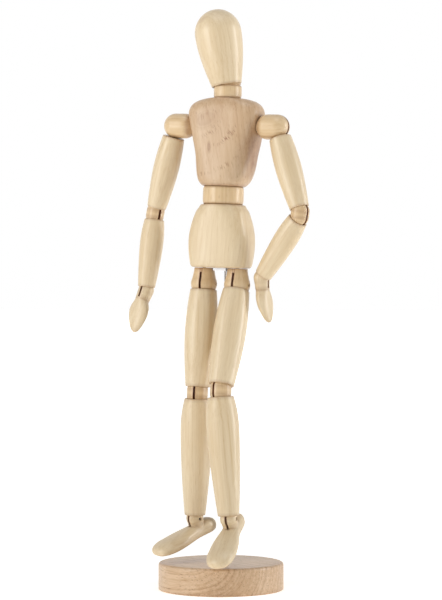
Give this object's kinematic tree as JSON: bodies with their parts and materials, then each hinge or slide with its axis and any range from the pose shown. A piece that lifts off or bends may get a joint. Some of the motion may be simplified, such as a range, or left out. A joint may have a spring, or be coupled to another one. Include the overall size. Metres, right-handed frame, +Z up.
{
  "type": "wooden artist's figure",
  "caption": "Jointed wooden artist's figure with slotted ball joints, held on a round base by a steel rod.",
  "frame": {"origin": "centre of the round base's underside, on the table", "axes": "+Z up; the figure faces -Y; its left side is towards +X"},
  "size_m": [0.1112, 0.0768, 0.329],
  "materials": {
    "lime_wood": "sanded pale lime wood with a thin clear satin varnish",
    "ball_wood": "slightly darker turned wood, satin, waxed where it rubs",
    "chest_beech": "pinkish beech with visible grain, satin",
    "base_beech": "turned beech disc with end grain on its edge, satin",
    "steel": "drawn steel wire and pins"
  },
  "bodies": {
    "base": {"base": "base_beech", "support_rod": "steel"},
    "pelvis": {"pelvis": "lime_wood", "pelvis_fittings": "steel"},
    "waist": {"waist": "ball_wood"},
    "waist_spring": {"waist_spring": "steel"},
    "chest": {"chest": "chest_beech", "chest_ties": "steel"},
    "neck": {"neck": "ball_wood"},
    "neck_spring": {"neck_spring": "steel"},
    "head": {"head": "lime_wood", "head_hook": "steel"},
    "left_shoulder": {"left_shoulder": "ball_wood", "left_shoulder_pin": "steel"},
    "left_upper_arm_hook": {"left_upper_arm_hook": "steel"},
    "left_upper_arm": {"left_upper_arm": "lime_wood", "left_upper_arm_spring": "steel"},
    "left_elbow": {"left_elbow": "ball_wood", "left_elbow_pins": "steel"},
    "left_forearm_hook": {"left_forearm_hook": "steel"},
    "left_forearm": {"left_forearm": "lime_wood", "left_forearm_spring": "steel"},
    "left_hand": {"left_hand": "lime_wood", "left_wrist_pin": "steel"},
    "left_hip": {"left_hip": "ball_wood", "left_hip_pin": "steel"},
    "left_thigh_hook": {"left_thigh_hook": "steel"},
    "left_thigh": {"left_thigh": "lime_wood", "left_thigh_spring": "steel"},
    "left_knee": {"left_knee": "ball_wood", "left_knee_pins": "steel"},
    "left_shin_hook": {"left_shin_hook": "steel"},
    "left_shin": {"left_shin": "lime_wood", "left_shin_spring": "steel"},
    "left_foot": {"left_foot": "lime_wood", "left_ankle_pin": "steel"},
    "right_shoulder": {"right_shoulder": "ball_wood", "right_shoulder_pin": "steel"},
    "right_upper_arm_hook": {"right_upper_arm_hook": "steel"},
    "right_upper_arm": {"right_upper_arm": "lime_wood", "right_upper_arm_spring": "steel"},
    "right_elbow": {"right_elbow": "ball_wood", "right_elbow_pins": "steel"},
    "right_forearm_hook": {"right_forearm_hook": "steel"},
    "right_forearm": {"right_forearm": "lime_wood", "right_forearm_spring": "steel"},
    "right_hand": {"right_hand": "lime_wood", "right_wrist_pin": "steel"},
    "right_hip": {"right_hip": "ball_wood", "right_hip_pin": "steel"},
    "right_thigh_hook": {"right_thigh_hook": "steel"},
    "right_thigh": {"right_thigh": "lime_wood", "right_thigh_spring": "steel"},
    "right_knee": {"right_knee": "ball_wood", "right_knee_pins": "steel"},
    "right_shin_hook": {"right_shin_hook": "steel"},
    "right_shin": {"right_shin": "lime_wood", "right_shin_spring": "steel"},
    "right_foot": {"right_foot": "lime_wood", "right_ankle_pin": "steel"}
  },
  "joints": [
    {"name": "figure_turn", "type": "hinge", "parent": "base", "child": "pelvis", "pos_m": [0, 0.008, 0.18219], "axis": [0, 0, 1], "range_deg": [-180, 180]},
    {"name": "waist_bow", "type": "hinge", "parent": "pelvis", "child": "waist", "pos_m": [0.00143, 0, 0.22326], "axis": [0.9994, 0, -0.0349], "range_deg": [-11.5, 16.5]},
    {"name": "waist_twist", "type": "hinge", "parent": "waist", "child": "waist_spring", "pos_m": [0.00143, 0, 0.22326], "axis": [0.0349, 0.0087, 0.9994], "range_deg": [-35, 35]},
    {"name": "chest_lean", "type": "hinge", "parent": "waist_spring", "child": "chest", "pos_m": [0.00143, 0, 0.22326], "axis": [-0.0003, 1, -0.0087], "range_deg": [-12.5, 2]},
    {"name": "neck_nod", "type": "hinge", "parent": "chest", "child": "neck", "pos_m": [0.004, 0.00051, 0.282], "axis": [0.999, -0.0001, -0.0436], "range_deg": [-18, 18]},
    {"name": "head_turn", "type": "hinge", "parent": "neck", "child": "neck_spring", "pos_m": [0.004, 0.00051, 0.282], "axis": [0.0436, -0.0262, 0.9987], "range_deg": [-74, 76]},
    {"name": "head_tilt", "type": "hinge", "parent": "neck_spring", "child": "head", "pos_m": [0.004, 0.00051, 0.282], "axis": [0.0187, 0.9995, 0.0254], "range_deg": [-4, 28]},
    {"name": "left_shoulder_swing", "type": "hinge", "parent": "chest", "child": "left_shoulder", "pos_m": [0.03461, 0.00034, 0.26101], "axis": [0.999, -0.0001, -0.0436], "range_deg": [-80, 45]},
    {"name": "left_arm_raise", "type": "hinge", "parent": "left_shoulder", "child": "left_upper_arm_hook", "pos_m": [0.03461, 0.00034, 0.26101], "axis": [0.0041, -0.9954, 0.0958], "range_deg": [-1, 74]},
    {"name": "left_arm_twist", "type": "hinge", "parent": "left_upper_arm_hook", "child": "left_upper_arm", "pos_m": [0.03461, 0.00034, 0.26101], "axis": [-0.3175, 0.0895, 0.944], "range_deg": [-44, 86]},
    {"name": "left_elbow_upper", "type": "hinge", "parent": "left_upper_arm", "child": "left_elbow", "pos_m": [0.05065, -0.00418, 0.21334], "axis": [-0.2574, -0.9663, 0.005], "range_deg": [-3, 32]},
    {"name": "left_elbow_lower", "type": "hinge", "parent": "left_elbow", "child": "left_forearm_hook", "pos_m": [0.05012, -0.00406, 0.21019], "axis": [-0.2574, -0.9663, 0.005], "range_deg": [-3, 32]},
    {"name": "left_forearm_twist", "type": "hinge", "parent": "left_forearm_hook", "child": "left_forearm", "pos_m": [0.05012, -0.00406, 0.21019], "axis": [0.6057, -0.1573, 0.78], "range_deg": [-22, 51]},
    {"name": "left_wrist_bend", "type": "hinge", "parent": "left_forearm", "child": "left_hand", "pos_m": [0.02407, 0.00271, 0.17665], "axis": [-0.1365, -0.9863, -0.0929], "range_deg": [-12, 0.5]},
    {"name": "left_hip_turn", "type": "hinge", "parent": "pelvis", "child": "left_hip", "pos_m": [0.01007, 0, 0.17253], "axis": [0.0349, 0, 0.9994], "range_deg": [-16, 29]},
    {"name": "left_leg_swing", "type": "hinge", "parent": "left_hip", "child": "left_thigh_hook", "pos_m": [0.01007, 0, 0.17253], "axis": [0.9992, 0.0175, -0.0349], "range_deg": [-27.5, 0.5]},
    {"name": "left_thigh_twist", "type": "hinge", "parent": "left_thigh_hook", "child": "left_thigh", "pos_m": [0.01007, 0, 0.17253], "axis": [0.028, 0.3007, 0.9533], "range_deg": [-9, 29]},
    {"name": "left_knee_upper", "type": "hinge", "parent": "left_thigh", "child": "left_knee", "pos_m": [0.00837, -0.01819, 0.11485], "axis": [0.9426, -0.3254, 0.0749], "range_deg": [-12, 3]},
    {"name": "left_knee_lower", "type": "hinge", "parent": "left_knee", "child": "left_shin_hook", "pos_m": [0.00845, -0.01869, 0.11169], "axis": [0.9426, -0.3254, 0.0749], "range_deg": [-12, 3]},
    {"name": "left_shin_twist", "type": "hinge", "parent": "left_shin_hook", "child": "left_shin", "pos_m": [0.00845, -0.01869, 0.11169], "axis": [-0.0762, 0.0089, 0.9971], "range_deg": [-42, 4]},
    {"name": "left_ankle_bend", "type": "hinge", "parent": "left_shin", "child": "left_foot", "pos_m": [0.01378, -0.01932, 0.0419], "axis": [0.9958, 0.0525, 0.0756], "range_deg": [-52, 1]},
    {"name": "right_shoulder_swing", "type": "hinge", "parent": "chest", "child": "right_shoulder", "pos_m": [-0.02833, 0.00034, 0.26376], "axis": [0.999, -0.0001, -0.0436], "range_deg": [-88, 37]},
    {"name": "right_arm_raise", "type": "hinge", "parent": "right_shoulder", "child": "right_upper_arm_hook", "pos_m": [-0.02833, 0.00034, 0.26376], "axis": [0.002, 0.999, 0.0436], "range_deg": [0, 81]},
    {"name": "right_arm_twist", "type": "hinge", "parent": "right_upper_arm_hook", "child": "right_upper_arm", "pos_m": [-0.02833, 0.00034, 0.26376], "axis": [0.284, -0.0423, 0.9579], "range_deg": [-76, 54]},
    {"name": "right_elbow_upper", "type": "hinge", "parent": "right_upper_arm", "child": "right_elbow", "pos_m": [-0.04267, 0.00248, 0.21539], "axis": [0.5378, 0.8341, -0.1226], "range_deg": [-25, 10]},
    {"name": "right_elbow_lower", "type": "hinge", "parent": "right_elbow", "child": "right_forearm_hook", "pos_m": [-0.04326, 0.0024, 0.21224], "axis": [0.5378, 0.8341, -0.1226], "range_deg": [-25, 10]},
    {"name": "right_forearm_twist", "type": "hinge", "parent": "right_forearm_hook", "child": "right_forearm", "pos_m": [-0.04326, 0.0024, 0.21224], "axis": [0.0835, 0.092, 0.9923], "range_deg": [-39, 91]},
    {"name": "right_wrist_bend", "type": "hinge", "parent": "right_forearm", "child": "right_hand", "pos_m": [-0.04685, -0.00155, 0.16958], "axis": [0.9683, -0.2427, -0.059], "range_deg": [-13, 62]},
    {"name": "right_hip_turn", "type": "hinge", "parent": "pelvis", "child": "right_hip", "pos_m": [-0.01072, 0, 0.17325], "axis": [0.0349, 0, 0.9994], "range_deg": [-36, 9]},
    {"name": "right_leg_swing", "type": "hinge", "parent": "right_hip", "child": "right_thigh_hook", "pos_m": [-0.01072, 0, 0.17325], "axis": [0.9939, 0.1045, -0.0347], "range_deg": [-40, 13]},
    {"name": "right_thigh_twist", "type": "hinge", "parent": "right_thigh_hook", "child": "right_thigh", "pos_m": [-0.01072, 0, 0.17325], "axis": [0.0257, 0.0867, 0.9959], "range_deg": [-20, 30]},
    {"name": "right_knee_upper", "type": "hinge", "parent": "right_thigh", "child": "right_knee", "pos_m": [-0.01227, -0.00524, 0.113], "axis": [0.9939, 0.1045, -0.0347], "range_deg": [-6.5, 23.5]},
    {"name": "right_knee_lower", "type": "hinge", "parent": "right_knee", "child": "right_shin_hook", "pos_m": [-0.01237, -0.00533, 0.10981], "axis": [0.9939, 0.1045, -0.0347], "range_deg": [-6.5, 23.5]},
    {"name": "right_shin_twist", "type": "hinge", "parent": "right_shin_hook", "child": "right_shin", "pos_m": [-0.01237, -0.00533, 0.10981], "axis": [0.0385, -0.0347, 0.9987], "range_deg": [-10, 45]},
    {"name": "right_ankle_bend", "type": "hinge", "parent": "right_shin", "child": "right_foot", "pos_m": [-0.01507, -0.0029, 0.0399], "axis": [0.9123, -0.4064, -0.0493], "range_deg": [-37, 11]}
  ]
}
